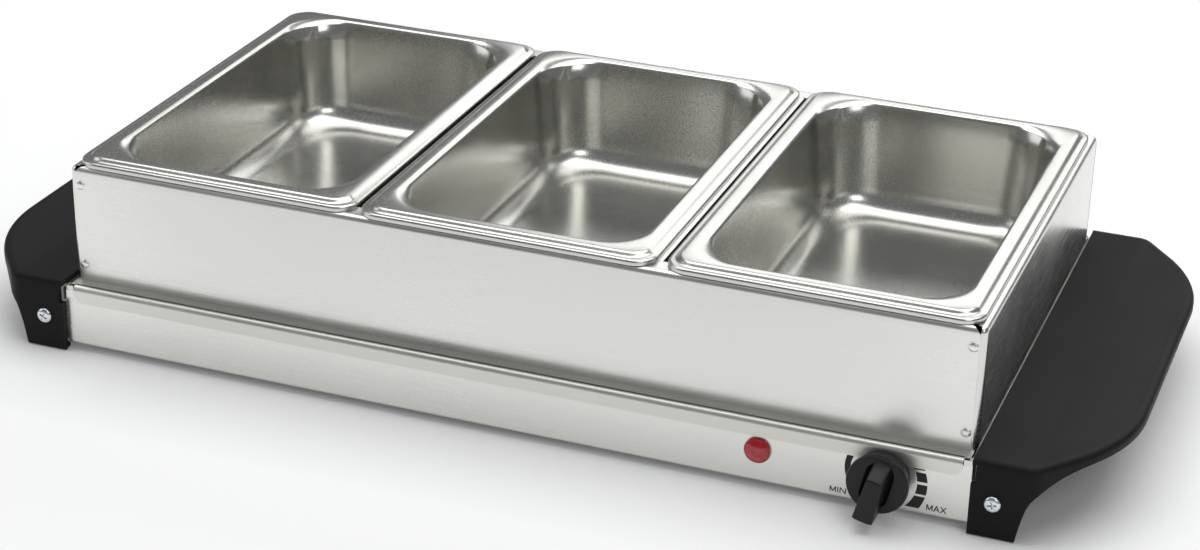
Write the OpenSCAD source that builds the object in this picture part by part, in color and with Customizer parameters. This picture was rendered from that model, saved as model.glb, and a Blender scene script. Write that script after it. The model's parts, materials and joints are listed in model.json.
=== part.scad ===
// Electric buffet server: a heated tray on two moulded handles, with a lift-off
// steel frame that holds three quarter-size gastronorm pans.
// +X runs along the long side, -Y is the control side, +Z is up, Z = 0 is the table.

/* [Pan frame] */
// Width of the pan frame, side to side
frame_w = 500; // [498:1:506]
// Depth of the pan frame, front to back
frame_d = 269; // [268:1:272]
// Height of the pan frame above the tray's ledge
frame_h = 66; // [63:1:90]
// Width of the flange turned inward round the frame's top
frame_flange = 12; // [10:0.5:12]
// Distance of each crossbar's centre line from the middle
crossbar_x = 77; // [76.5:0.1:77.5]
// Width of a crossbar
crossbar_w = 10; // [6:1:10]

/* [Pans] */
// Width of one pan over its rim
pan_w = 162; // [158:1:162]
// Length of one pan over its rim, front to back
pan_l = 265; // [261:1:265]
// Depth of one pan below the top of its rim
pan_h = 65; // [40:5:65]
// Width of the pan's rim, from its edge to the opening
pan_rim = 13; // [13:0.5:16]
// Radius of the pan's opening at its corners
pan_corner_r = 32; // [24:1:36]

/* [Tray] */
// Width of the tray's ledge in front of the pan frame
ledge_w = 10.4; // [9:0.2:12]
// Height of the tray's turned-down skirt
skirt_h = 9.3; // [7:0.1:10]
// Rise of the tray's heated middle above its ledge
plateau_rise = 1.5; // [0.8:0.1:1.8]

/* [Base] */
// Gap between the table and the base's lower edge
floor_gap = 3.6; // [3:0.2:8]
// Height of the base, from its lower edge to the tray's ledge
base_h = 34.5; // [34:0.5:40]

/* [Handles] */
// Reach of each handle past the side of the pan frame
grip_reach = 71; // [66:1:80]
// Depth of each handle, front to back
grip_d = 296; // [294:1:298]
// Wall thickness of the moulded handles
grip_t = 3; // [2.5:0.1:3.2]
// Width of each handle leg where it stands on the table
leg_w = 23.5; // [22:0.5:26]

/* [Controls] */
// Distance of the knob's axis to the right of the middle
knob_x = 206.9; // [200:0.1:208]
// Radius of the knob's round skirt
knob_r = 15.7; // [14.5:0.1:16]
// Distance of the pilot lamp to the right of the middle
lamp_x = 142.6; // [120:0.2:160]
// Radius of the pilot lamp's lens
lamp_r = 7; // [6:0.5:8]

/* [Hidden] */

$fn = 48;
eps = 0.01;
sheet_t = 0.6;
fold_r = 3;
small_fold_r = 1.5;

// Levels
ledge_z = floor_gap + base_h;
plateau_z = ledge_z + plateau_rise;
frame_top_z = ledge_z + frame_h;
rim_rise = 5;
rim_z = frame_top_z + rim_rise;
control_z = ledge_z - 16.8;

// Plan sizes, as half widths from the middle of the base
skirt_x = frame_w / 2 - 4;
tray_x = frame_w / 2 + 3;
tray_y = frame_d / 2 + ledge_w;
panel_y = tray_y - sheet_t;
panel_x = frame_w / 2 + 0.8;
frame_x = frame_w / 2;
frame_y = frame_d / 2;
grip_y = grip_d / 2;
grip_in_x = frame_w / 2 + 1.2;
grip_out_x = frame_w / 2 + grip_reach;

// Handle outline: a long straight side, a broad arc, a straight taper and a tight corner
bulge_r = 100;
bulge_y = grip_y - 83;
taper_deg = 39;
nose_r = 10;
bulge_x = grip_out_x - bulge_r;
nose_x = bulge_x + (bulge_r - nose_r - (grip_y - nose_r - bulge_y) * sin(taper_deg)) / cos(taper_deg);
grip_rise = 3.3;
grip_top_z = ledge_z + grip_rise;
grip_rim_h = 6;
grip_rim_z = grip_top_z - grip_rim_h;
grip_plate_z = grip_top_z - grip_t;
leg_out_x = grip_in_x + leg_w;
leg_knee_x = leg_out_x + 6.5;
leg_knee_z = ledge_z - 14.8;
arch_end_x = leg_knee_x + 25;
arch_deg = 40;
arc_step = 6.5;
sole_t = 3;
sole_d = 6;

// Fasteners
screw_r = 2;
screw_head_r = 4.4;
screw_head_h = 2.2;
handle_screw_x = grip_in_x + 11.6;
handle_screw_z = ledge_z - 18.9;
handle_screw_l = 9;
tab_x = grip_in_x + leg_w - grip_t - 1.5;
tab_low_z = floor_gap + 2;
tab_high_z = ledge_z - skirt_h - 1;
panel_flange = 12;
end_flange = 12;
cover_screw_x = [60, 225];
cover_screw_y = panel_y - 7;
cover_screw_r = 1.5;
cover_screw_l = 5;
vent_count = 4;
vent_pitch = 34;
vent_w = 5;
vent_l = 60;

// Knob
knob_back = 1.3;
knob_disc_h = 10.8;
knob_bar_w = [8.5, 10.8];
knob_bar_h = 24;
knob_bar_low = knob_r - 0.2;
knob_slope_z = 8.4;
knob_back_r = knob_r - 2.1;
knob_rest_deg = 12.6;
shaft_r = 3;
running_gap = 0.05;
shaft_flat = 0.8;
shaft_tip = 17;
bushing_r = 5;
bushing_out = 3;
nut_t = 2.5;
thermostat_y = -panel_y + 8.3;
thermostat_w = 34;
thermostat_d = 22;
thermostat_h = 28;
lamp_body_r = lamp_r - 1.2;

// Heater, under the tray's raised middle
spreader_t = 2;
spreader_z = plateau_z - sheet_t - spreader_t;
spreader_x = frame_x - 15;
spreader_y = frame_y - 29.5;
element_r = 3.25;
element_z = spreader_z - element_r - 0.05;
element_x = 195;
element_rows = 4;
element_pitch = 50;
pin_r = 1.2;
pin_l = 12;
strap_t = 0.8;
reflector_z = spreader_z - 11.4;
stud_x = 215;
stud_y = 90;
stud_r = 2;
cutout_r = 8;
bulb_r = 2.5;
bulb_x = 100;
bulb_y = -92;
bulb_l = 60;
capillary_r = 0.8;

// Supply and wiring
gland_r = 7;
gland_x = 200;
gland_z = floor_gap + 15;
cord_hole_r = 4;
earth_r = 2;
earth_x = 172;
block_x = 150;
block_y = 105;
block_w = 34;
block_d = 22;
block_pitch = 10;
block_ways = 3;
block_wire_z = floor_gap + 7;
wire_r = 1.2;

// Pan frame
mitre_gap = 1.1;
front_mitre = 2.5;
side_tab = 14;
crossbar_h = 12;
frame_rivet_x = frame_x - 6;
frame_rivet_z = [ledge_z + 9.5, frame_top_z - 10];
rivet_r = 1.5;
rivet_head_r = 2.75;
rivet_head_h = 1.2;

// Pans: the rim's plateau, shoulder, brim and lip, and the drafted room inside
rim_corner_r = 12;
brim_w = 4;
brim_drop = 2;
lip_gap = 0.2;
pan_draft = 4;
pan_fillet = 15;
pan_x = [-166.5, -1.5, 166];
pan_y = [-1, -1.8, -1];

// The body's centre in Y, which puts the origin in the middle of the whole outline
front_reach = panel_y + knob_bar_h;
rear_reach = grip_y + screw_head_h;
body_y = (front_reach - rear_reach) / 2;

// ---------- Helpers ----------

// Moves a part drawn round the middle of the base to its place
module placed() { translate([0, body_y, 0]) children(); }

// A bar along X from x0 to x1, with its profile drawn in the YZ plane
module along_x(x0, x1) { translate([x0, 0, 0]) rotate([90, 0, 90]) linear_extrude(x1 - x0) children(); }

// A bar along Y from y0 to y1, with its profile drawn in the XZ plane
module along_y(y0, y1) { translate([0, y1, 0]) rotate([90, 0, 0]) linear_extrude(y1 - y0) children(); }

// A cylinder along Y from y0 to y1
module rod_y(r, x, z, y0, y1) { translate([x, y1, z]) rotate([90, 0, 0]) cylinder(r = r, h = y1 - y0); }

// A cylinder along X from x0 to x1
module rod_x(r, y, z, x0, x1) { translate([x0, y, z]) rotate([0, 90, 0]) cylinder(r = r, h = x1 - x0); }

// The same thing at the front and mirrored at the back
module front_and_back() {
    children();
    mirror([0, 1, 0]) children();
}

// The same thing at the right and mirrored at the left
module both_sides() {
    children();
    mirror([1, 0, 0]) children();
}

// A rectangle round the origin with round corners
module round_rect(w, d, r) {
    square([w - 2 * r, d], center = true);
    square([w, d - 2 * r], center = true);
    for (sx = [-1, 1], sy = [-1, 1]) translate([sx * (w / 2 - r), sy * (d / 2 - r)]) circle(r);
}

// A rectangle whose top left corner is round
module corner_rect(w, h, r) {
    translate([r, 0]) square([w - r, h]);
    square([w, h - r]);
    intersection() {
        translate([r, h - r]) circle(r);
        translate([0, h - r]) square(r);
    }
}

// A sheet folded over at its top: a wall up from the origin and a flange to the right
module folded_sheet(flange, h, r) {
    difference() {
        corner_rect(flange, h, r);
        translate([sheet_t, -eps]) corner_rect(flange, h - sheet_t + eps, r - sheet_t);
    }
}

// A flat ring between two round rectangles
module rect_ring(w, d, r, wall, h) {
    linear_extrude(h) difference() {
        round_rect(w, d, r);
        round_rect(w - 2 * wall, d - 2 * wall, r - wall);
    }
}

// A pan head screw with a cross recess, its head up and its seat at Z = 0
module pan_screw(l, r, head_r, head_h) {
    crown_r = head_r * 1.4;
    slot_l = head_r * 1.1;
    slot_w = head_r * 0.2;
    difference() {
        union() {
            translate([0, 0, -l]) cylinder(r = r, h = l);
            intersection() {
                cylinder(r = head_r, h = head_h);
                translate([0, 0, head_h - crown_r]) sphere(crown_r);
            }
        }
        for (a = [0, 90]) rotate(a) translate([-slot_l / 2, -slot_w / 2, head_h / 2])
            cube([slot_l, slot_w, head_h]);
    }
}

// ---------- Base ----------

module tray_plate() {
    inner_x = frame_x - 3;
    inner_y = frame_y - 3.5;
    inner_r = 8;
    skirt_corner_r = 5;
    side_skirt_y = panel_y - sheet_t - 0.1;
    fold_w = fold_r + 1;
    color([0.72, 0.72, 0.68]) placed() {
        // Ledge round the raised middle
        translate([0, 0, ledge_z - sheet_t]) linear_extrude(sheet_t) difference() {
            round_rect(2 * (tray_x - fold_r), 2 * (tray_y - fold_r), 2);
            round_rect(2 * (inner_x - sheet_t), 2 * (inner_y - sheet_t), inner_r - sheet_t);
        }
        // Raised middle
        translate([0, 0, ledge_z - sheet_t])
            rect_ring(2 * inner_x, 2 * inner_y, inner_r, sheet_t, plateau_rise + sheet_t);
        translate([0, 0, plateau_z - sheet_t]) linear_extrude(sheet_t)
            round_rect(2 * inner_x, 2 * inner_y, inner_r);
        // Front and rear skirts, round at their lower corners
        front_and_back() difference() {
            along_x(-skirt_x, skirt_x) translate([-tray_y, ledge_z - skirt_h])
                folded_sheet(fold_w, skirt_h, fold_r);
            both_sides() along_y(-tray_y - 1, -tray_y + sheet_t + eps)
                translate([skirt_x - skirt_corner_r, ledge_z - skirt_h]) difference() {
                    translate([0, -eps]) square([skirt_corner_r + 1, skirt_corner_r + eps]);
                    translate([0, skirt_corner_r]) circle(skirt_corner_r);
                }
        }
        // Side skirts
        both_sides() along_y(-side_skirt_y, side_skirt_y)
            translate([tray_x, ledge_z - skirt_h]) mirror([1, 0]) folded_sheet(fold_w, skirt_h, fold_r);
    }
}

// A base panel's sheet: a wall with a flange turned inward at its foot and a tab at each end
// for the handles' screws
module base_panel() {
    panel_top = ledge_z - fold_r;
    difference() {
        union() {
            along_x(-panel_x, panel_x) translate([-panel_y, panel_top]) mirror([0, 1])
                folded_sheet(panel_flange, panel_top - floor_gap, small_fold_r);
            both_sides() {
                translate([panel_x - 1, -panel_y, tab_low_z])
                    cube([tab_x - panel_x + 1, sheet_t, tab_high_z - tab_low_z]);
                // Strip that closes the corner beside the tray's skirt
                translate([skirt_x + 0.3, -panel_y, panel_top - 1])
                    cube([panel_x - skirt_x - 0.3, sheet_t, fold_r + 0.9]);
            }
        }
        both_sides() rod_y(screw_r, handle_screw_x, handle_screw_z, -panel_y - 1, -panel_y + 1);
        both_sides() for (x = cover_screw_x) translate([x, -cover_screw_y, floor_gap - 1])
            cylinder(r = cover_screw_r, h = 3);
    }
}

module front_panel() {
    color([0.80, 0.80, 0.77]) placed() difference() {
        base_panel();
        rod_y(lamp_body_r, lamp_x, control_z, -panel_y - 1, -panel_y + 1);
        rod_y(bushing_r, knob_x, control_z, -panel_y - 1, -panel_y + 1);
    }
}

module rear_panel() {
    color([0.80, 0.80, 0.77]) placed() difference() {
        mirror([0, 1, 0]) base_panel();
        rod_y(gland_r, gland_x, gland_z, panel_y - 1, panel_y + 1);
        rod_y(earth_r, earth_x, gland_z, panel_y - 1, panel_y + 1);
    }
}

// An end wall of the base, with flanges turned inward that meet the front and rear panels
module end_panel() {
    wall_x = frame_x - 2;
    end_y = panel_y - sheet_t;
    translate([0, 0, floor_gap + sheet_t]) linear_extrude(ledge_z - fold_r - floor_gap - sheet_t)
        difference() {
            translate([wall_x - end_flange, -end_y]) square([end_flange, 2 * end_y]);
            translate([wall_x - end_flange - 1, -end_y + sheet_t])
                square([end_flange + 1 - sheet_t, 2 * (end_y - sheet_t)]);
        }
}

module end_panel_left() { color([0.70, 0.70, 0.68]) placed() mirror([1, 0, 0]) end_panel(); }

module end_panel_right() { color([0.70, 0.70, 0.68]) placed() end_panel(); }

module bottom_cover() {
    cover_x = frame_x - 3;
    cover_y = panel_y - 2;
    color([0.62, 0.62, 0.60]) placed() difference() {
        translate([0, 0, floor_gap - sheet_t]) linear_extrude(sheet_t)
            round_rect(2 * cover_x, 2 * cover_y, 4);
        front_and_back() both_sides() for (x = cover_screw_x)
            translate([x, -cover_screw_y, floor_gap - 1]) cylinder(r = cover_screw_r, h = 2);
        // Vent slots
        for (i = [-vent_count : vent_count]) translate([i * vent_pitch, 0, floor_gap - 1])
            linear_extrude(2) round_rect(vent_w, vent_l, vent_w / 2 - eps);
    }
}

module bottom_screws() {
    color([0.75, 0.76, 0.78]) placed() front_and_back() both_sides() for (x = cover_screw_x)
        translate([x, -cover_screw_y, floor_gap - sheet_t]) rotate([180, 0, 0])
            pan_screw(cover_screw_l, cover_screw_r, 3, 1.6);
}

// ---------- Handles ----------

// Outline of a handle, drawn in by t
function grip_outline(t) = let (
    half = concat(
        [[grip_in_x, -grip_y + t]],
        [for (a = [-90 : arc_step : -taper_deg])
            [nose_x + (nose_r - t) * cos(a), -grip_y + nose_r + (nose_r - t) * sin(a)]],
        [for (a = [-taper_deg : arc_step : 0])
            [bulge_x + (bulge_r - t) * cos(a), -bulge_y + (bulge_r - t) * sin(a)]]
    )
) concat(half, [for (i = [len(half) - 1 : -1 : 0]) [half[i][0], -half[i][1]]]);

// What is kept of the handle's outer wall, seen from the front: the leg, its arch and the rim
module leg_profile() {
    arch_w = (arch_end_x - leg_knee_x) / cos(arch_deg);
    arch_h = (grip_rim_z - leg_knee_z) / (1 - sin(arch_deg));
    polygon(concat(
        [[grip_in_x - 1, 0], [leg_out_x, 0]],
        [for (a = [arch_deg : 10 : 90])
            [arch_end_x - arch_w * cos(a), grip_rim_z - arch_h * (1 - sin(a))]],
        [[grip_out_x + 1, grip_rim_z], [grip_out_x + 1, grip_top_z], [grip_in_x - 1, grip_top_z]]
    ));
}

module handle() {
    inner_wall_x = tray_x + 0.4;
    notch_z = ledge_z - skirt_h - 0.6;
    difference() {
        union() {
            // Top
            translate([0, 0, grip_plate_z]) linear_extrude(grip_t) polygon(grip_outline(0));
            // Outer wall, with its legs
            intersection() {
                linear_extrude(grip_top_z) difference() {
                    polygon(grip_outline(0));
                    polygon(concat(
                        [[grip_in_x - 1, -grip_y + grip_t]], grip_outline(grip_t),
                        [[grip_in_x - 1, grip_y - grip_t]]
                    ));
                }
                along_y(-grip_y - 1, grip_y + 1) leg_profile();
            }
            // Soles under the legs
            front_and_back() translate([grip_in_x, -grip_y, 0]) cube([leg_w, sole_d, sole_t]);
            // Inner wall beside the base
            translate([inner_wall_x, -grip_y + 12, floor_gap + 3])
                cube([grip_t, 2 * (grip_y - 12), grip_plate_z - floor_gap - 3]);
            // Ribs under the top, beside the legs
            front_and_back() translate([inner_wall_x, -grip_y + 24, grip_rim_z])
                cube([nose_x - inner_wall_x + 12, 2.4, grip_plate_z - grip_rim_z]);
        }
        // Clearance for the tray's ledge and skirts
        translate([grip_in_x - 1, -grip_y - 1, notch_z])
            cube([tray_x + 0.3 - grip_in_x + 1, 2 * grip_y + 2, ledge_z + 0.2 - notch_z]);
        front_and_back() rod_y(screw_r, handle_screw_x, handle_screw_z, -grip_y - 1, -grip_y + grip_t + 1);
    }
}

module handle_left() { color([0.10, 0.10, 0.10]) placed() mirror([1, 0, 0]) handle(); }

module handle_right() { color([0.10, 0.10, 0.10]) placed() handle(); }

module handle_screws() {
    color([0.78, 0.79, 0.82]) placed() front_and_back() both_sides()
        translate([handle_screw_x, -grip_y, handle_screw_z]) rotate([90, 0, 0])
            pan_screw(handle_screw_l, screw_r, screw_head_r, screw_head_h);
}

// ---------- Heater ----------

module heat_spreader() {
    color([0.80, 0.81, 0.83]) placed() difference() {
        translate([0, 0, spreader_z]) linear_extrude(spreader_t)
            round_rect(2 * spreader_x, 2 * spreader_y, 6);
        both_sides() front_and_back() translate([stud_x, stud_y, spreader_z - 1])
            cylinder(r = stud_r, h = 4);
    }
}

// A sheathed tube that runs to and fro in straight rows, with a cold pin at each end
module heating_element() {
    row_y = [for (i = [0 : element_rows - 1]) (i - (element_rows - 1) / 2) * element_pitch];
    color([0.35, 0.33, 0.30]) placed() {
        for (y = row_y) rod_x(element_r, y, element_z, -element_x, element_x);
        for (i = [0 : element_rows - 2]) translate([i % 2 == 0 ? -element_x : element_x,
            row_y[i] + element_pitch / 2, element_z]) mirror([i % 2 == 0 ? 1 : 0, 0, 0])
                rotate(-90) rotate_extrude(angle = 180) translate([element_pitch / 2, 0]) circle(element_r);
        for (y = [row_y[0], row_y[element_rows - 1]])
            rod_x(pin_r, y, element_z, element_x, element_x + pin_l);
    }
}

// A strap under a tube along X, with a foot each side that is welded to the spreader
module tube_strap(r, w) {
    foot = 6;
    rise = r + 0.05;
    rotate([90, 0, 90]) translate([0, 0, -w / 2]) linear_extrude(w) {
        difference() {
            union() {
                circle(r + strap_t);
                translate([-r - strap_t, 0]) square([2 * (r + strap_t), rise]);
            }
            circle(r);
            translate([-r, 0]) square([2 * r, 2 * rise]);
        }
        for (s = [-1, 1]) translate([s * (r + foot / 2), rise - strap_t / 2])
            square([foot, strap_t], center = true);
    }
}

module element_clips() {
    color([0.66, 0.67, 0.68]) placed()
        for (x = [-150, 0, 150], i = [0 : element_rows - 1]) {
            y = (i - (element_rows - 1) / 2) * element_pitch;
            translate([x, y, element_z]) tube_strap(element_r, 12);
        }
}

module heat_reflector() {
    reflector_x = spreader_x - 6;
    reflector_y = spreader_y - 4;
    color([0.74, 0.75, 0.76]) placed() difference() {
        union() {
            translate([0, 0, reflector_z]) linear_extrude(sheet_t)
                round_rect(2 * reflector_x, 2 * reflector_y, 4);
            translate([0, 0, reflector_z]) rect_ring(2 * reflector_x, 2 * reflector_y, 4, sheet_t, 5);
        }
        both_sides() front_and_back() translate([stud_x, stud_y, reflector_z - 1])
            cylinder(r = stud_r, h = 3);
        translate([0, 0, reflector_z - 1]) cylinder(r = cutout_r + 3, h = 3);
    }
}

module reflector_studs() {
    color([0.72, 0.73, 0.75]) placed() both_sides() front_and_back() translate([stud_x, stud_y, 0]) {
        translate([0, 0, reflector_z - 4])
            cylinder(r = stud_r, h = spreader_z + spreader_t - reflector_z + 4);
        translate([0, 0, reflector_z + sheet_t])
            cylinder(r = stud_r + 2, h = spreader_z - reflector_z - sheet_t);
    }
}

module reflector_nuts() {
    nut_h = 2.4;
    color([0.75, 0.76, 0.78]) placed() both_sides() front_and_back()
        translate([stud_x, stud_y, reflector_z - nut_h]) difference() {
            cylinder(r = 4, h = nut_h, $fn = 6);
            translate([0, 0, -1]) cylinder(r = stud_r, h = nut_h + 2);
        }
}

module thermal_cutout() {
    color([0.78, 0.74, 0.66]) placed() {
        translate([0, 0, spreader_z - 3]) cylinder(r = cutout_r, h = 3);
        translate([0, 0, spreader_z - 9]) cylinder(r = cutout_r - 2, h = 6);
        both_sides() translate([cutout_r - 5, -2, spreader_z - 14]) cube([0.8, 4, 5 + eps]);
    }
}

// A copper bulb clipped under the spreader, with its capillary to the thermostat
module sensing_bulb() {
    bulb_z = spreader_z - bulb_r - 0.05;
    color([0.72, 0.45, 0.30]) placed() {
        rod_x(bulb_r, bulb_y, bulb_z, bulb_x, bulb_x + bulb_l);
        rod_x(capillary_r, bulb_y, bulb_z, bulb_x + bulb_l - 1, knob_x);
        translate([knob_x, bulb_y, bulb_z]) sphere(capillary_r);
        rod_y(capillary_r, knob_x, bulb_z, thermostat_y + thermostat_d, bulb_y);
    }
}

module bulb_clip() {
    color([0.66, 0.67, 0.68]) placed()
        translate([bulb_x + bulb_l / 2, bulb_y, spreader_z - bulb_r - 0.05]) tube_strap(bulb_r, 12);
}

// ---------- Controls ----------

module thermostat_body() {
    color([0.86, 0.83, 0.76]) placed() difference() {
        union() {
            translate([knob_x - thermostat_w / 2, thermostat_y, control_z - thermostat_h / 2])
                cube([thermostat_w, thermostat_d, thermostat_h]);
            rod_y(bushing_r + 3, knob_x, control_z, -panel_y + sheet_t, thermostat_y + eps);
            rod_y(bushing_r, knob_x, control_z, -panel_y - bushing_out, thermostat_y + eps);
        }
        rod_y(shaft_r + running_gap, knob_x, control_z, -panel_y - bushing_out - 1, thermostat_y + 8);
    }
}

module thermostat_nut() {
    color([0.78, 0.68, 0.42]) placed() difference() {
        translate([knob_x, -panel_y, control_z]) rotate([90, 0, 0])
            cylinder(r = bushing_r + 2.6, h = nut_t, $fn = 6);
        rod_y(bushing_r, knob_x, control_z, -panel_y - nut_t - 1, -panel_y + 1);
    }
}

module thermostat_tabs() {
    color([0.80, 0.70, 0.42]) placed() for (s = [-1, 1])
        translate([knob_x + s * 9 - 3.15, thermostat_y + thermostat_d, control_z - 6]) cube([6.3, 8, 0.8]);
}

module thermostat_shaft() {
    color([0.74, 0.75, 0.77]) placed() difference() {
        rod_y(shaft_r, knob_x, control_z, -panel_y - shaft_tip, thermostat_y + 7);
        rotate_knob() translate([-shaft_r - 1, -shaft_tip - 1, shaft_r - shaft_flat])
            cube([2 * shaft_r + 2, shaft_tip - bushing_out - 1, shaft_r]);
    }
}

// Puts a thing drawn round the knob's axis on the panel's face, turned to its rest angle.
// Local -Z is the way the pointer shows.
module rotate_knob() {
    translate([knob_x, -panel_y, control_z]) rotate([0, knob_rest_deg, 0]) children();
}

module control_knob() {
    disc_top = knob_back + knob_disc_h;
    grip_low = -knob_bar_low;
    grip_high = knob_r - 2;
    color([0.07, 0.07, 0.07]) placed() rotate_knob() difference() {
        union() {
            // Flared skirt with a rim
            translate([0, -knob_back, 0]) rotate([90, 0, 0])
                cylinder(r1 = knob_back_r, r2 = knob_r - 0.6, h = knob_disc_h - 4);
            rod_y(knob_r, 0, 0, -disc_top, -disc_top + 4);
            // Bar grip, wider at its pointer end, its other end sloped
            intersection() {
                along_x(-knob_r, knob_r) polygon([
                    [-disc_top + eps, grip_low], [-knob_bar_h, grip_low],
                    [-knob_bar_h, knob_slope_z], [-disc_top + eps, grip_high]
                ]);
                along_y(-knob_bar_h, -disc_top + eps) polygon([
                    [-knob_bar_w[0] / 2, grip_high], [knob_bar_w[0] / 2, grip_high],
                    [knob_bar_w[1] / 2, grip_low], [-knob_bar_w[1] / 2, grip_low]
                ]);
            }
        }
        // Recess over the thermostat's nut
        rod_y(bushing_r + 4, 0, 0, -knob_back - nut_t - 1, -knob_back + 1);
        // D-shaped bore
        difference() {
            rod_y(shaft_r + running_gap, 0, 0, -shaft_tip - 0.2, 0);
            translate([-shaft_r - 1, -shaft_tip - 1, shaft_r - shaft_flat + running_gap])
                cube([2 * shaft_r + 2, shaft_tip - nut_t - knob_back, shaft_r]);
        }
    }
}

module lamp_lens() {
    color([0.85, 0.12, 0.14]) placed() difference() {
        union() {
            rod_y(lamp_r, lamp_x, control_z, -panel_y - 1.6, -panel_y);
            intersection() {
                rod_y(lamp_r - 0.7, lamp_x, control_z, -panel_y - 3.4, -panel_y - 1.5);
                translate([lamp_x, -panel_y + 9, control_z]) sphere(12.4);
            }
            rod_y(lamp_body_r, lamp_x, control_z, -panel_y - eps, -panel_y + 4);
        }
        rod_y(lamp_body_r - 1.2, lamp_x, control_z, -panel_y - 0.8, -panel_y + 5);
    }
}

module lamp_housing() {
    color([0.90, 0.89, 0.85]) placed() {
        rod_y(lamp_body_r, lamp_x, control_z, -panel_y + 4, -panel_y + 22);
        rod_y(lamp_body_r - 1.25, lamp_x, control_z, -panel_y + 1, -panel_y + 4 + eps);
    }
}

module lamp_clip() {
    color([0.70, 0.71, 0.73]) placed() difference() {
        rod_y(lamp_body_r + 2.4, lamp_x, control_z, -panel_y + sheet_t, -panel_y + sheet_t + 0.8);
        rod_y(lamp_body_r, lamp_x, control_z, -panel_y, -panel_y + 3);
    }
}

// ---------- Wiring ----------

module cord_gland() {
    color([0.08, 0.08, 0.08]) placed() difference() {
        union() {
            rod_y(gland_r + 2.5, gland_x, gland_z, panel_y, panel_y + 3);
            rod_y(gland_r, gland_x, gland_z, panel_y - 12, panel_y + eps);
        }
        rod_y(cord_hole_r, gland_x, gland_z, panel_y - 13, panel_y + 4);
    }
}

module gland_nut() {
    color([0.12, 0.12, 0.12]) placed() difference() {
        translate([gland_x, panel_y - sheet_t, gland_z]) rotate([90, 0, 0])
            cylinder(r = gland_r + 3, h = 4, $fn = 6);
        rod_y(gland_r, gland_x, gland_z, panel_y - 6, panel_y);
    }
}

module terminal_block() {
    color([0.90, 0.90, 0.86]) placed() difference() {
        union() {
            translate([block_x - block_w / 2, block_y - block_d / 2, floor_gap])
                cube([block_w, block_d, 4]);
            for (i = [0 : block_ways - 1])
                translate([block_x + (i - 1) * block_pitch - 4, block_y - block_d / 2 + 1, floor_gap + 3.9])
                    cube([8, block_d - 2, 9.1]);
        }
        for (i = [0 : block_ways - 1]) {
            x = block_x + (i - 1) * block_pitch;
            rod_y(1.8, x, block_wire_z, block_y - block_d, block_y + block_d);
            for (s = [-1, 1]) translate([x, block_y + s * 5, block_wire_z]) cylinder(r = 1.5, h = 12);
        }
    }
}

module terminal_screws() {
    color([0.78, 0.70, 0.45]) placed() for (i = [0 : block_ways - 1], s = [-1, 1])
        translate([block_x + (i - 1) * block_pitch, block_y + s * 5, block_wire_z + 1.85]) difference() {
            cylinder(r = 1.5, h = 4);
            translate([-2, -0.3, 3]) cube([4, 0.6, 2]);
        }
}

// A wire through a list of points, as eight-sided rods that run on a little past each bend
module wire(points) {
    for (i = [0 : len(points) - 2]) {
        run = points[i + 1] - points[i];
        past = i < len(points) - 2 ? wire_r / 2 : 0;
        translate(points[i]) rotate([0, acos(run[2] / norm(run)), atan2(run[1], run[0])])
            cylinder(r = wire_r, h = norm(run) + past, $fn = 8);
    }
}

module inner_wires() {
    block_front = block_y - block_d / 2;
    tab_y = thermostat_y + thermostat_d + 8;
    tab_z = control_z - 5.6;
    low_z = floor_gap + 4;
    under_z = reflector_z - 7;
    pin_x = element_x + pin_l;
    side_x = spreader_x - 3;
    pin_y = (element_rows - 1) / 2 * element_pitch;
    cutout_tab = [cutout_r - 4.6, 0, spreader_z - 14];
    color([0.55, 0.12, 0.10]) placed() {
        // Block to the thermostat
        wire([[block_x - block_pitch, block_front, block_wire_z], [block_x - block_pitch, 0, low_z],
            [knob_x - 9, tab_y + 10, low_z], [knob_x - 9, tab_y, tab_z]]);
        // Thermostat to the element's front pin
        wire([[knob_x + 9, tab_y, tab_z], [side_x + 3, tab_y + 8, low_z + 3],
            [side_x, -pin_y, element_z], [pin_x, -pin_y, element_z]]);
        // Element's rear pin to the thermal cutout
        wire([[pin_x, pin_y, element_z], [side_x, pin_y, element_z], [side_x, pin_y - 6, under_z],
            cutout_tab - [0, 0, 5], cutout_tab]);
        // Thermal cutout to the block
        wire([[-cutout_tab[0], 0, cutout_tab[2]], [-cutout_tab[0], 6, under_z - 2],
            [block_x + block_pitch, block_front - 12, low_z + 3],
            [block_x + block_pitch, block_front, block_wire_z]]);
        // Lamp's lead to the block
        wire([[lamp_x - 3, -panel_y + 22, control_z], [lamp_x - 3, -panel_y + 30, low_z + 3],
            [block_x, block_front - 20, low_z], [block_x, block_front, block_wire_z]]);
    }
}

module earth_screw() {
    color([0.80, 0.70, 0.42]) placed() translate([earth_x, panel_y - sheet_t, gland_z]) rotate([90, 0, 0]) {
        translate([0, 0, -sheet_t]) cylinder(r = earth_r, h = sheet_t + 8);
        cylinder(r = 3.8, h = 3, $fn = 6);
    }
}

// ---------- Pan frame ----------

// The frame's front sheet: a wall with a mitred flange turned in at its top
module frame_sheet() {
    difference() {
        along_x(-frame_x + fold_r, frame_x - fold_r) translate([-frame_y, ledge_z])
            folded_sheet(frame_flange, frame_h, fold_r);
        both_sides() {
            // Mitre of the flange
            translate([frame_x - front_mitre, -frame_y, frame_top_z - fold_r]) linear_extrude(fold_r + 1)
                polygon([[0, 0], [-frame_flange - 1, frame_flange + 1],
                    [fold_r, frame_flange + 1], [fold_r, 0]]);
            for (z = frame_rivet_z) rod_y(rivet_r, frame_rivet_x, z, -frame_y - 1, -frame_y + 2);
        }
    }
}

module frame_front() { color([0.80, 0.80, 0.77]) placed() frame_sheet(); }

module frame_back() { color([0.80, 0.80, 0.77]) placed() mirror([0, 1, 0]) frame_sheet(); }

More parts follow.
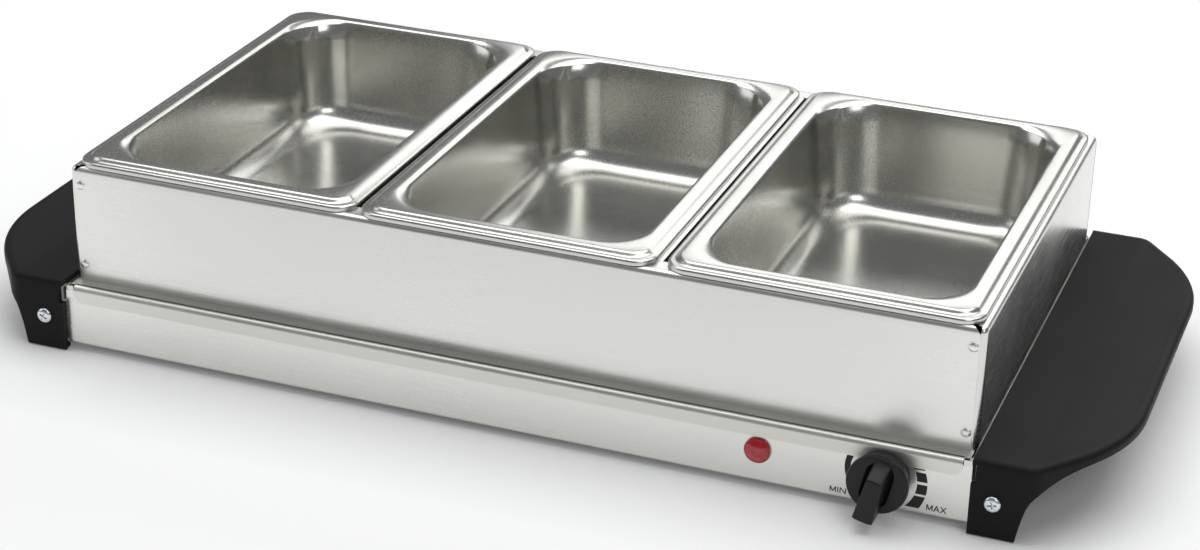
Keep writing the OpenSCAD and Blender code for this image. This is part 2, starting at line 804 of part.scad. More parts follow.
// The frame's side sheet: a wall with a flange at its top, and a tab at each end that is
// riveted behind the front and back sheets
module frame_side() {
    tab_y = frame_y - sheet_t;
    side_end = tab_y - fold_r;
    tab_top = frame_top_z - fold_r - 1;
    corner_d = fold_r + 1;
    difference() {
        union() {
            along_y(-side_end, side_end) translate([frame_x, ledge_z]) mirror([1, 0])
                folded_sheet(frame_flange, frame_h, fold_r);
            front_and_back() translate([frame_x, -tab_y, ledge_z]) linear_extrude(tab_top - ledge_z)
                translate([0, corner_d]) rotate(180) folded_sheet(side_tab, corner_d, fold_r);
        }
        front_and_back() {
            for (z = frame_rivet_z) rod_y(rivet_r, frame_rivet_x, z, -frame_y - 1, -frame_y + 2);
            translate([frame_x - mitre_gap, -frame_y, frame_top_z - fold_r]) linear_extrude(fold_r + 1)
                polygon([[1, -1], [-frame_flange - 2, frame_flange + 2], [-frame_flange - 2, -1]]);
        }
    }
}

module frame_left() { color([0.76, 0.76, 0.73]) placed() mirror([1, 0, 0]) frame_side(); }

module frame_right() { color([0.76, 0.76, 0.73]) placed() frame_side(); }

// A channel across the frame, with a joggled tongue under each long flange
module crossbar(x) {
    bar_y = frame_y - frame_flange - 0.3;
    placed() translate([x, 0, 0]) {
        along_y(-bar_y, bar_y) translate([-crossbar_w / 2, frame_top_z - crossbar_h]) difference() {
            square([crossbar_w, crossbar_h]);
            translate([sheet_t, -eps]) square([crossbar_w - 2 * sheet_t, crossbar_h - sheet_t + eps]);
        }
        front_and_back() translate([-crossbar_w / 2 + sheet_t, -frame_y + 3, frame_top_z - 2 * sheet_t])
            cube([crossbar_w - 2 * sheet_t, frame_flange + 8, sheet_t]);
    }
}

module crossbar_left() { color([0.78, 0.78, 0.75]) crossbar(-crossbar_x); }

module crossbar_right() { color([0.78, 0.78, 0.75]) crossbar(crossbar_x); }

module frame_rivets() {
    color([0.82, 0.82, 0.80]) placed() front_and_back() both_sides() for (z = frame_rivet_z)
        translate([frame_rivet_x, -frame_y, z]) rotate([90, 0, 0]) {
            intersection() {
                cylinder(r = rivet_head_r, h = rivet_head_h);
                translate([0, 0, rivet_head_h - 3.6]) sphere(3.6);
            }
            translate([0, 0, -2 * sheet_t]) cylinder(r = rivet_r, h = 2 * sheet_t);
            translate([0, 0, -2 * sheet_t - 0.8]) cylinder(r = rivet_r + 0.8, h = 0.8);
        }
}

// ---------- Pans ----------

// The room inside a pan, grown by g and up to top_z: drafted sides that turn into the floor
module pan_room(g, top_z) {
    floor_z = rim_z - pan_h + sheet_t - g;
    top_w = pan_w - 2 * pan_rim + 2 * g;
    top_l = pan_l - 2 * pan_rim + 2 * g;
    hull() {
        translate([0, 0, top_z - eps]) linear_extrude(eps) round_rect(top_w, top_l, pan_corner_r, $fn = 32);
        for (a = [0 : 22.5 : 90]) {
            inset = pan_draft + pan_fillet * (1 - sin(a));
            translate([0, 0, floor_z + pan_fillet * (1 - cos(a))]) linear_extrude(eps)
                round_rect(top_w - 2 * inset, top_l - 2 * inset, pan_corner_r - inset / 2, $fn = 32);
        }
    }
}

// A pan: the rim's flat plateau, shoulder, narrow brim and turned-down lip, and the drafted room
module pan(i) {
    brim_z = rim_z - brim_drop;
    lip_z = frame_top_z + lip_gap;
    plateau_w = pan_w - 2 * brim_w;
    plateau_l = pan_l - 2 * brim_w;
    plateau_r = rim_corner_r - brim_w;
    placed() translate([pan_x[i], pan_y[i], 0]) {
        difference() {
            union() {
                translate([0, 0, rim_z - sheet_t]) linear_extrude(sheet_t)
                    round_rect(plateau_w, plateau_l, plateau_r);
                pan_room(sheet_t, rim_z - eps);
            }
            pan_room(0, rim_z + 1);
        }
        translate([0, 0, brim_z - sheet_t]) {
            rect_ring(plateau_w, plateau_l, plateau_r, sheet_t, brim_drop + eps);
            rect_ring(pan_w, pan_l, rim_corner_r, brim_w + sheet_t, sheet_t);
        }
        translate([0, 0, lip_z]) rect_ring(pan_w, pan_l, rim_corner_r, sheet_t, brim_z - lip_z);
    }
}

module pan_left() { color([0.74, 0.74, 0.71]) pan(0); }

module pan_middle() { color([0.74, 0.74, 0.71]) pan(1); }

module pan_right() { color([0.74, 0.74, 0.71]) pan(2); }

tray_plate();
front_panel();
rear_panel();
end_panel_left();
end_panel_right();
bottom_cover();
bottom_screws();
handle_left();
handle_right();
handle_screws();
heat_spreader();
heating_element();
element_clips();
heat_reflector();
reflector_studs();
reflector_nuts();
thermal_cutout();
sensing_bulb();
bulb_clip();
thermostat_body();
thermostat_nut();
thermostat_tabs();
terminal_block();
terminal_screws();
inner_wires();
earth_screw();
cord_gland();
gland_nut();
lamp_lens();
lamp_housing();
lamp_clip();
thermostat_shaft();
control_knob();
frame_front();
frame_back();
frame_left();
frame_right();
crossbar_left();
crossbar_right();
frame_rivets();
pan_left();
pan_middle();
pan_right();
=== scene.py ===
"""Looks for the electric buffet server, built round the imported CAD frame. Lengths are in mm until meshed."""
import json
import math

import bmesh
import bpy
from mathutils import Matrix, Vector


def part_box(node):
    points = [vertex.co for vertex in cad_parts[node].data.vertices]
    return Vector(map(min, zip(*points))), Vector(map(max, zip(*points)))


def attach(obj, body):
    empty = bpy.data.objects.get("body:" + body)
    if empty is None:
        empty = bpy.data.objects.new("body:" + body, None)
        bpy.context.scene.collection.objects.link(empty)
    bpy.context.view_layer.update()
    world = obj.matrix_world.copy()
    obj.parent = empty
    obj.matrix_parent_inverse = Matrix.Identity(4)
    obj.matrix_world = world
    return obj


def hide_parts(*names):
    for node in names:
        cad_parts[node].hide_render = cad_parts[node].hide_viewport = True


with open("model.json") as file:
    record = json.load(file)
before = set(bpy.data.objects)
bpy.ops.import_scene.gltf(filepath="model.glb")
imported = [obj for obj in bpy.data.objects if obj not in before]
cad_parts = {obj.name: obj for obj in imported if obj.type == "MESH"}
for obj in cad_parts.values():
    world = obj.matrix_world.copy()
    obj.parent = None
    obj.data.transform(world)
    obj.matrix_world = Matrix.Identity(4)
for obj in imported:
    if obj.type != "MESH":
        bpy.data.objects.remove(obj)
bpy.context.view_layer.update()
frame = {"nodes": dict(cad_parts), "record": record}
record = frame["record"]
scene = bpy.context.scene
MM = 1000.0


def mm_box(node):
    lo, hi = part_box(node)
    return lo * MM, hi * MM


# ---------- Sizes, all measured on the CAD ----------
front_lo, front_hi = mm_box("frame_front")
_, back_hi = mm_box("frame_back")
_, right_hi = mm_box("frame_right")
tray_lo, tray_hi = mm_box("tray_plate")
panel_lo, panel_hi = mm_box("front_panel")
rear_lo, rear_hi = mm_box("rear_panel")
grip_lo, grip_hi = mm_box("handle_right")
BY = (front_lo.y + back_hi.y) / 2
FX, FY, FT, LEDGE = right_hi.x, back_hi.y - BY, front_hi.z, front_lo.z
TX, TY = tray_hi.x, tray_hi.y - BY
PY = BY - panel_lo.y
T = 0.6
FOLD = 3.0
FLANGE = 12.0


def place(x, y, z):
    return (x, y + BY, z)


# ---------- Mesh helpers ----------
def arc(cx, cy, r, a0, a1, n):
    return [(cx + r * math.cos(math.radians(a0 + (a1 - a0) * i / n)),
             cy + r * math.sin(math.radians(a0 + (a1 - a0) * i / n))) for i in range(n + 1)]


def ring(cx, cy, hw, hl, r, z, n=10, m=6):
    """A closed loop round a rectangle with round corners, always with the same number of points."""
    pts = []
    corners = [(1, -1, -90), (1, 1, 0), (-1, 1, 90), (-1, -1, 180)]
    ends = []
    for sx, sy, a0 in corners:
        ends.append(arc(cx + sx * (hw - r), cy + sy * (hl - r), r, a0, a0 + 90, n))
    for i in range(4):
        pts += ends[i]
        a, b = ends[i][-1], ends[(i + 1) % 4][0]
        pts += [(a[0] + (b[0] - a[0]) * k / m, a[1] + (b[1] - a[1]) * k / m) for k in range(1, m)]
    return [(x, y, z) for x, y in pts]


def loft(loops, wrap=False, caps=(False, False)):
    n = len(loops[0])
    verts = [p for lp in loops for p in lp]
    faces = []
    rows = len(loops)
    for j in range(rows if wrap else rows - 1):
        a, b = j * n, ((j + 1) % rows) * n
        faces += [(a + i, a + (i + 1) % n, b + (i + 1) % n, b + i) for i in range(n)]
    if caps[0]:
        faces.append(tuple(range(n))[::-1])
    if caps[1]:
        faces.append(tuple((rows - 1) * n + i for i in range(n)))
    return verts, faces


def lathe(profile, origin, out, n=64, caps=(False, False), spin=0.0):
    """Turns (radius, distance out) points round an axis. out(u, v, d) gives the place of a point."""
    loops = []
    for r, d in profile:
        loops.append([out(origin, r * math.cos(math.radians(360 * i / n + spin)),
                          r * math.sin(math.radians(360 * i / n + spin)), d) for i in range(n)])
    return loft(loops, caps=caps)


def to_front(o, u, v, d):
    return (o[0] + u, o[1] - d, o[2] + v)


def to_back(o, u, v, d):
    return (o[0] - u, o[1] + d, o[2] + v)


def to_floor(o, u, v, d):
    return (o[0] + u, o[1] - v, o[2] - d)


def fold_path(h, r, flange, cuts=1, seg=8):
    """Outer points of a folded sheet, each with its inward direction: wall, fold, flange."""
    pts = [((0.0, (h - r) * k / cuts), (1.0, 0.0)) for k in range(cuts)]
    for k in range(seg + 1):
        a = math.radians(90 * k / seg)
        pts.append(((r - r * math.cos(a), h - r + r * math.sin(a)), (math.cos(a), -math.sin(a))))
    pts.append(((flange, h), (0.0, -1.0)))
    return pts


def sheet(path, t, at, start, end, steps=1):
    """A sheet of thickness t run along a length. at(u, p) places a point; start and end limit it."""
    verts, faces = [], []
    m = len(path)
    outer = [p for p, _ in path]
    inner = [(p[0] + n[0] * t, p[1] + n[1] * t) for p, n in path]
    for s in range(steps + 1):
        for row in (outer, inner):
            for q, p in zip(row, outer):
                u0, u1 = start(p), end(p)
                verts.append(at(u0 + (u1 - u0) * s / steps, q))
    for s in range(steps):
        a, b = s * 2 * m, (s + 1) * 2 * m
        for i in range(m - 1):
            faces.append((a + i, a + i + 1, b + i + 1, b + i))
            faces.append((a + m + i + 1, a + m + i, b + m + i, b + m + i + 1))
        for i in (0, m - 1):
            faces.append((a + i, b + i, b + m + i, a + m + i))
    for s in (0, steps):
        a = s * 2 * m
        faces += [(a + i, a + m + i, a + m + i + 1, a + i + 1) for i in range(m - 1)]
    return verts, faces


def block(x0, x1, y0, y1, z0, z1, r=0.4):
    """A box with rounded edges, in frame millimetres relative to the middle of the base."""
    cx, cy, hw, hl = (x0 + x1) / 2, (y0 + y1) / 2, abs(x1 - x0) / 2, abs(y1 - y0) / 2
    r = min(r, hw * 0.49, hl * 0.49, (z1 - z0) * 0.49)
    loops = []
    for k in range(5):
        a = math.radians(90 * k / 4)
        inset = r * (1 - math.sin(a))
        loops.append(ring(cx, cy, hw - inset, hl - inset, max(r, inset + 0.01),
                          z0 + r * (1 - math.cos(a)), 4, 2))
    for k in range(5):
        a = math.radians(90 - 90 * k / 4)
        inset = r * (1 - math.sin(a))
        loops.append(ring(cx, cy, hw - inset, hl - inset, max(r, inset + 0.01),
                          z1 - r * (1 - math.cos(a)), 4, 2))
    v, f = loft(loops, caps=(True, True))
    return [place(*p) for p in v], f


def mirror_x(part):
    return [(-x, y, z) for x, y, z in part[0]], [tuple(reversed(f)) for f in part[1]]


def mesh_of(name, parts):
    bm = bmesh.new()
    for verts, faces in parts:
        made = [bm.verts.new(Vector(v) / MM) for v in verts]
        for f in faces:
            try:
                bm.faces.new([made[i] for i in f])
            except ValueError:
                pass
    bmesh.ops.remove_doubles(bm, verts=bm.verts, dist=1e-7)
    bmesh.ops.recalc_face_normals(bm, faces=bm.faces)
    me = bpy.data.meshes.new(name)
    bm.to_mesh(me)
    bm.free()
    return me


def smooth(me, angle):
    for p in me.polygons:
        p.use_smooth = True
    me.set_sharp_from_angle(angle=math.radians(angle))


def piece(name, parts, mat, body, nodes=(), angle=32, cutters=()):
    me = mesh_of(name, parts)
    ob = bpy.data.objects.new(name, me)
    scene.collection.objects.link(ob)
    if cutters:
        tools = []
        for k, part in enumerate(cutters):
            tool = bpy.data.objects.new(f"{name}_cut{k}", mesh_of(f"{name}_cut{k}", [part]))
            scene.collection.objects.link(tool)
            mod = ob.modifiers.new("cut", "BOOLEAN")
            mod.operation, mod.solver, mod.object = "DIFFERENCE", "EXACT", tool
            tools.append(tool)
        cut = bpy.data.meshes.new_from_object(ob.evaluated_get(bpy.context.evaluated_depsgraph_get()))
        ob.modifiers.clear()
        ob.data = cut
        for tool in tools:
            bpy.data.objects.remove(tool)
    smooth(ob.data, angle)
    ob.data.materials.clear()
    ob.data.materials.append(mat)
    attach(ob, body)
    if nodes:
        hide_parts(*nodes)
    return ob


# ---------- Materials ----------
def base_material(name):
    mat = bpy.data.materials.new(name)
    mat.use_nodes = True
    nt = mat.node_tree
    nt.nodes.clear()
    out = nt.nodes.new("ShaderNodeOutputMaterial")
    bsdf = nt.nodes.new("ShaderNodeBsdfPrincipled")
    nt.links.new(bsdf.outputs[0], out.inputs[0])
    return mat, nt, bsdf


def noise(nt, scale, vector_scale=(1, 1, 1), detail=4.0, rough=0.55):
    coord = nt.nodes.new("ShaderNodeTexCoord")
    mapping = nt.nodes.new("ShaderNodeMapping")
    mapping.inputs["Scale"].default_value = vector_scale
    tex = nt.nodes.new("ShaderNodeTexNoise")
    tex.inputs["Scale"].default_value = scale
    tex.inputs["Detail"].default_value = detail
    tex.inputs["Roughness"].default_value = rough
    nt.links.new(coord.outputs["Object"], mapping.inputs[0])
    nt.links.new(mapping.outputs[0], tex.inputs["Vector"])
    return tex.outputs["Fac"]


def spread(nt, value, lo, hi, low=0.3, high=0.7):
    node = nt.nodes.new("ShaderNodeMapRange")
    node.inputs["From Min"].default_value = low
    node.inputs["From Max"].default_value = high
    node.inputs["To Min"].default_value = lo
    node.inputs["To Max"].default_value = hi
    nt.links.new(value, node.inputs["Value"])
    return node.outputs["Result"]


def tint(nt, value, dark, light, low=0.3, high=0.7):
    ramp = nt.nodes.new("ShaderNodeValToRGB")
    ramp.color_ramp.elements[0].position = low
    ramp.color_ramp.elements[1].position = high
    ramp.color_ramp.elements[0].color = (*dark, 1)
    ramp.color_ramp.elements[1].color = (*light, 1)
    nt.links.new(value, ramp.inputs[0])
    return ramp.outputs[0]


def mix(nt, fac, a, b, mode="MIX"):
    node = nt.nodes.new("ShaderNodeMix")
    node.data_type = "RGBA"
    node.blend_type = mode
    if isinstance(fac, float):
        node.inputs[0].default_value = fac
    else:
        nt.links.new(fac, node.inputs[0])
    for sock, val in ((node.inputs[6], a), (node.inputs[7], b)):
        if isinstance(val, tuple):
            sock.default_value = (*val, 1)
        else:
            nt.links.new(val, sock)
    return node.outputs[2]


def bump(nt, bsdf, height, strength, distance):
    node = nt.nodes.new("ShaderNodeBump")
    node.inputs["Strength"].default_value = strength
    node.inputs["Distance"].default_value = distance
    nt.links.new(height, node.inputs["Height"])
    nt.links.new(node.outputs[0], bsdf.inputs["Normal"])


def worn_edges(nt, low=0.52, high=0.62):
    geo = nt.nodes.new("ShaderNodeNewGeometry")
    return spread(nt, geo.outputs["Pointiness"], 0.0, 1.0, low, high)


def steel(name, colour, rough, grain, streak=1.0, strength=0.10):
    """Brushed steel. grain is the scale along each axis: small along the brushing, large across it."""
    mat, nt, bsdf = base_material(name)
    lines = noise(nt, 1.0, grain, 3.0)
    cloud = noise(nt, 9.0, detail=3.0)
    dark = tuple(c * (1 - 0.05 * streak) for c in colour)
    light = tuple(min(1.0, c * (1 + 0.04 * streak)) for c in colour)
    colour_out = mix(nt, 0.5, tint(nt, lines, dark, light), tint(nt, cloud, dark, light))
    colour_out = mix(nt, worn_edges(nt), colour_out, tuple(min(1.0, c * 1.12) for c in colour))
    nt.links.new(colour_out, bsdf.inputs["Base Color"])
    bsdf.inputs["Metallic"].default_value = 1.0
    math_node = nt.nodes.new("ShaderNodeMath")
    math_node.operation = "ADD"
    nt.links.new(spread(nt, lines, rough - 0.05, rough + 0.05), math_node.inputs[0])
    nt.links.new(spread(nt, cloud, -0.03, 0.04), math_node.inputs[1])
    nt.links.new(math_node.outputs[0], bsdf.inputs["Roughness"])
    bump(nt, bsdf, lines, strength, 0.0001)
    return mat


def plastic(name, colour, rough, grain=2600.0, strength=0.10, coat=0.0, wear=1.6, shine=0.5):
    mat, nt, bsdf = base_material(name)
    fine = noise(nt, grain, detail=2.0)
    cloud = noise(nt, 12.0, detail=3.0)
    col = tint(nt, cloud, tuple(c * 0.9 for c in colour), tuple(min(1.0, c * 1.12) for c in colour))
    col = mix(nt, worn_edges(nt), col, tuple(min(1.0, c * wear) for c in colour))
    nt.links.new(col, bsdf.inputs["Base Color"])
    nt.links.new(spread(nt, cloud, rough - 0.04, rough + 0.05), bsdf.inputs["Roughness"])
    bsdf.inputs["Coat Weight"].default_value = coat
    bsdf.inputs["Specular IOR Level"].default_value = shine
    bump(nt, bsdf, fine, strength, 0.00005)
    return mat


ALONG_X, ALONG_Y = (25, 2600, 2600), (2600, 25, 2600)
front_steel = steel("front_steel", (0.73, 0.735, 0.70), 0.30, ALONG_X, 1.0, 0.05)
side_steel = steel("side_steel", (0.72, 0.725, 0.70), 0.24, ALONG_Y)
tray_steel = steel("tray_steel", (0.70, 0.705, 0.655), 0.40, ALONG_X)
pan_steel = steel("pan_steel", (0.620, 0.616, 0.583), 0.23, (1900, 1900, 1900), 0.5, 0.05)
galvanised = steel("galvanised", (0.58, 0.59, 0.59), 0.42, (180, 180, 180), 1.6, 0.12)
zinc = steel("zinc", (0.74, 0.77, 0.80), 0.24, (700, 700, 700), 1.0, 0.06)
rivet_steel = steel("rivet_steel", (0.86, 0.86, 0.84), 0.34, (900, 900, 900), 0.6, 0.03)
aluminium = steel("aluminium", (0.78, 0.79, 0.80), 0.36, ALONG_X)
copper = steel("copper", (0.72, 0.38, 0.22), 0.30, (400, 400, 400))
brass = steel("brass", (0.78, 0.62, 0.32), 0.30, (500, 500, 500))
sheath = steel("sheath", (0.16, 0.15, 0.14), 0.55, (400, 400, 400), 3.0)
handle_plastic = plastic("handle_plastic", (0.010, 0.0102, 0.0096), 0.52, strength=0.12, shine=0.12)
knob_plastic = plastic("knob_plastic", (0.010, 0.010, 0.0105), 0.36, strength=0.06, shine=0.3)
gland_plastic = plastic("gland_plastic", (0.02, 0.02, 0.02), 0.45)
ceramic = plastic("ceramic", (0.76, 0.73, 0.65), 0.5, 900.0, 0.2, wear=1.1)
nylon = plastic("nylon", (0.82, 0.81, 0.76), 0.45, 1200.0, wear=1.05)
sleeve = plastic("sleeve", (0.42, 0.05, 0.04), 0.5, 1500.0)
ink = plastic("ink", (0.012, 0.012, 0.013), 0.6, 3000.0, 0.05, wear=1.0)


def lamp_material():
    mat, nt, bsdf = base_material("lamp_red")
    cloud = noise(nt, 260.0, detail=2.0)
    nt.links.new(tint(nt, cloud, (0.52, 0.006, 0.012), (0.80, 0.018, 0.028)), bsdf.inputs["Base Color"])
    nt.links.new(spread(nt, cloud, 0.06, 0.12), bsdf.inputs["Roughness"])
    bsdf.inputs["Transmission Weight"].default_value = 0.45
    bsdf.inputs["IOR"].default_value = 1.49
    bsdf.inputs["Coat Weight"].default_value = 0.6
    bump(nt, bsdf, cloud, 0.03, 0.0001)
    return mat


lamp_red = lamp_material()
slot_material = {
    "panel_steel": front_steel, "pan_steel": pan_steel, "tray_steel": tray_steel,
    "galvanised_steel": galvanised, "handle_plastic": handle_plastic, "knob_plastic": knob_plastic,
    "zinc_steel": zinc, "spreader_aluminium": aluminium, "element_sheath": sheath, "copper": copper,
    "cutout_ceramic": ceramic, "thermostat_ceramic": ceramic, "brass": brass, "block_nylon": nylon,
    "wire_sleeve": sleeve, "gland_plastic": gland_plastic, "lamp_red": lamp_red,
}
for sub in record["subparts"]:
    mesh = frame["nodes"][sub["node"]].data
    mesh.materials.clear()
    mesh.materials.append(slot_material[sub["material_slot"]])


# ---------- Pan frame ----------
CORNER_R = 5.0


def corner_cut(depth, r=CORNER_R):
    """How far a round corner of radius r pulls an edge in, at a distance depth past the corner's start."""
    depth = max(0.0, min(r, depth))
    return r - math.sqrt(r * r - depth * depth)


def front_end(p):
    return FX - max(FOLD + corner_cut(p[1] - (FT - LEDGE - CORNER_R)), 2.5 + p[0])


def fine_fold(h, r, flange, low=0.0, high=0.0, seg=8):
    """fold_path with the wall cut finely over its lowest or highest part, where an end is round."""
    zs = [low * k / 8 for k in range(9)] if low else [0.0]
    if high:
        zs += [h - high + (high - r) * k / 6 for k in range(6)]
    pts = [((0.0, z), (1.0, 0.0)) for z in zs]
    for k in range(seg + 1):
        a = math.radians(90 * k / seg)
        pts.append(((r - r * math.cos(a), h - r + r * math.sin(a)), (math.cos(a), -math.sin(a))))
    for k in range(1, 7):
        pts.append(((r + (flange - r) * k / 6, h), (0.0, -1.0)))
    return pts


HEIGHT = FT - LEDGE
for name, sy in (("frame_front", -1), ("frame_back", 1)):
    part = sheet(fine_fold(HEIGHT, FOLD, FLANGE, high=CORNER_R), T,
                 lambda u, p, sy=sy: place(u, sy * (FY - p[0]), LEDGE + p[1]),
                 lambda p: -front_end(p), front_end, 8)
    piece(name + "_sheet", [part], front_steel, "pan_frame", [name])

TAB_Y = FY - T


def corner_cap(sx, sy):
    """The round corner that closes a side sheet's top fold and its tab."""
    n, verts, faces = 8, [], []
    for radius in (FOLD, FOLD - T):
        for i in range(n + 1):
            tilt = math.radians(3 + 87 * i / n)
            for j in range(n + 1):
                turn = math.radians(90 * j / n)
                verts.append(place(sx * (FX - FOLD + radius * math.sin(tilt) * math.cos(turn)),
                                   sy * (TAB_Y - FOLD + radius * math.sin(tilt) * math.sin(turn)),
                                   FT - FOLD + radius * math.cos(tilt)))
    w, half = n + 1, (n + 1) ** 2
    for i in range(n):
        for j in range(n):
            a = i * w + j
            faces += [(a, a + 1, a + w + 1, a + w),
                      (a + half, a + half + w, a + half + w + 1, a + half + 1)]
    edge = list(range(n)) + [i * w + n for i in range(n)]
    edge += [n * w + j for j in range(n, 0, -1)] + [i * w for i in range(n, 0, -1)]
    faces += [(a, a + half, b + half, b) for a, b in zip(edge, edge[1:] + edge[:1])]
    return verts, faces


for name, sx in (("frame_left", -1), ("frame_right", 1)):
    def side_end(p):
        return FY - max(FOLD + T, p[0] - 1.1)
    wall = sheet(fine_fold(HEIGHT, FOLD, FLANGE), T,
                 lambda u, p, sx=sx: place(sx * (FX - p[0]), u, LEDGE + p[1]),
                 lambda p: -side_end(p), side_end, 6)
    parts = [wall]
    for sy in (-1, 1):
        parts.append(sheet(fold_path(FOLD + 1, FOLD, 14.0), T,
                           lambda u, p, sx=sx, sy=sy: place(sx * (FX - p[0]),
                                                          sy * (TAB_Y - FOLD - 1 + p[1]), u),
                           lambda p: LEDGE, lambda p: FT - FOLD, 3))
        parts.append(corner_cap(sx, sy))
    piece(name + "_sheet", parts, side_steel, "pan_frame", [name])

for name in ("crossbar_left", "crossbar_right"):
    lo, hi = mm_box(name)
    w, cx = hi.x - lo.x, (lo.x + hi.x) / 2
    depth, r = FT - lo.z, 1.2
    path = [((0.0, 0.0), (1.0, 0.0))]
    for k in range(5):
        a = math.radians(90 * k / 4)
        path.append(((r - r * math.cos(a), depth - r + r * math.sin(a)), (math.cos(a), -math.sin(a))))
    for k in range(5):
        a = math.radians(90 - 90 * k / 4)
        path.append(((w - r + r * math.cos(a), depth - r + r * math.sin(a)), (-math.cos(a), -math.sin(a))))
    path.append(((w, 0.0), (-1.0, 0.0)))
    bar_y = FY - FLANGE - 0.3
    parts = [sheet(path, T, lambda u, p: place(lo.x + p[0], u, lo.z + p[1]),
                   lambda p: -bar_y, lambda p: bar_y, 4)]
    for sy in (-1, 1):
        y0, y1 = sorted((sy * (FY - 3), sy * (bar_y - 8)))
        parts.append(block(lo.x + T, hi.x - T, y0, y1, FT - 2 * T, FT - T, 0.2))
    piece(name + "_channel", parts, side_steel, "pan_frame", [name])

rivet_lo, rivet_hi = mm_box("frame_rivets")
RIVET_R, RIVET_H = 2.75, front_lo.y - rivet_lo.y
rivet_x = rivet_hi.x - RIVET_R
rivet_zs = (rivet_lo.z + RIVET_R, rivet_hi.z - RIVET_R)
dome = [(0.05, RIVET_H), (0.7, RIVET_H * 0.98), (1.3, RIVET_H * 0.9),
        (1.9, RIVET_H * 0.72), (2.35, RIVET_H * 0.48),
        (2.62, RIVET_H * 0.26), (RIVET_R, 0.1), (RIVET_R, 0.0), (1.5, 0.0), (1.5, -1.2),
        (2.3, -1.2), (2.2, -1.9), (0.05, -2.0)]
parts = []
for out, y in ((to_front, -FY), (to_back, FY)):
    for sx in (-1, 1):
        for z in rivet_zs:
            parts.append(lathe(dome, place(sx * rivet_x, y, z), out, 40, (True, True)))
piece("rivets", parts, rivet_steel, "pan_frame", ["frame_rivets"], 40)

# ---------- Pans ----------
RIM, BRIM, BRIM_DROP, FILLET = 13.0, 4.0, 2.0, 15.0


def pan_mesh(node):
    lo, hi = mm_box(node)
    cx, cy, hw, hl = (lo.x + hi.x) / 2, (lo.y + hi.y) / 2, (hi.x - lo.x) / 2, (hi.y - lo.y) / 2
    top, brim_z, lip_z, floor_z = hi.z, hi.z - BRIM_DROP, FT + 0.2, lo.z + T

    def profile(t):
        """(inset, height, corner radius) from the lip's lower edge to the floor, drawn in by t."""
        pts = [(t, lip_z, 12 - t)]
        r = 1.3
        pts += [(r - (r - t) * math.cos(a), brim_z - r + (r - t) * math.sin(a), 12 - t)
                for a in (math.radians(90 * k / 5) for k in range(6))]
        # Shoulder: a soft S from the brim up to the plateau
        for k in range(9):
            s = k / 8
            e = s * s * (3 - 2 * s)
            pts.append((BRIM - 1.3 + 3.2 * s, brim_z - t + BRIM_DROP * e, 12 - 3.0 * s))
        pts.append((RIM - 3.6, top - t, 20.0))
        # Round edge into the drafted wall
        edge = 2.6 + t
        for k in range(1, 9):
            a = math.radians(86 * k / 8)
            pts.append((RIM - 2.6 + edge * math.sin(a) - t,
                        top - 2.6 - t + 2.6 + edge * (math.cos(a) - 1) + t,
                        20.0 + 12.0 * k / 8))
        wall_bottom = floor_z + FILLET
        x_top, z_top = pts[-1][0], pts[-1][1]
        x_low = RIM + 4.0 - t
        for k in range(1, 6):
            s = k / 5
            pts.append((x_top + (x_low - x_top) * s, z_top + (wall_bottom - z_top) * s, 32.0 - 2.0 * s))
        for k in range(1, 9):
            a = math.radians(90 * k / 8)
            f = FILLET + t
            pts.append((x_low + f * (1 - math.cos(a)), floor_z - t + f * (1 - math.sin(a)),
                        30.0 - 6.0 * (1 - math.cos(a))))
        pts.append((x_low + FILLET + 14, floor_z - t, 20.0))
        return pts

    upper = [ring(cx, cy, hw - i, hl - i, r, z, 12, 8) for i, z, r in profile(0.0)]
    lower = [ring(cx, cy, hw - i, hl - i, r, z, 12, 8) for i, z, r in profile(T)]
    v1, f1 = loft(upper, caps=(False, True))
    v2, f2 = loft(lower[::-1], caps=(True, False))
    n = len(upper[0])
    last_ring = len(v1) + (len(lower) - 1) * n
    edge_faces = [(i, (i + 1) % n, last_ring + (i + 1) % n, last_ring + i)
                  for i in range(n)]
    return [(v1 + v2, f1 + [tuple(i + len(v1) for i in f) for f in f2] + edge_faces)]


for node, body in (("pan_left", "left_pan"), ("pan_middle", "middle_pan"), ("pan_right", "right_pan")):
    piece(node + "_drawn", pan_mesh(node), pan_steel, body, [node], 50)

# ---------- Tray ----------
INNER_X, INNER_Y = FX - 3.0, FY - 3.5
SKIRT_H, SKIRT_R = LEDGE - tray_lo.z, 5.0


def tray_level(drop):
    loops = [(TX - FOLD, TY - FOLD, 2.0, LEDGE), (INNER_X + 1.2, INNER_Y + 1.2, 9.0, LEDGE)]
    for k in range(1, 7):
        s = k / 6
        loops.append((INNER_X + 1.2 - 2.4 * s, INNER_Y + 1.2 - 2.4 * s, 9.0 - 1.5 * s,
                      LEDGE + (tray_hi.z - LEDGE) * s * s * (3 - 2 * s)))
    loops.append((INNER_X - 20, INNER_Y - 20, 6.0, tray_hi.z))
    return [ring(0, BY, x, y, r, z - drop, 6, 6) for x, y, r, z in loops]


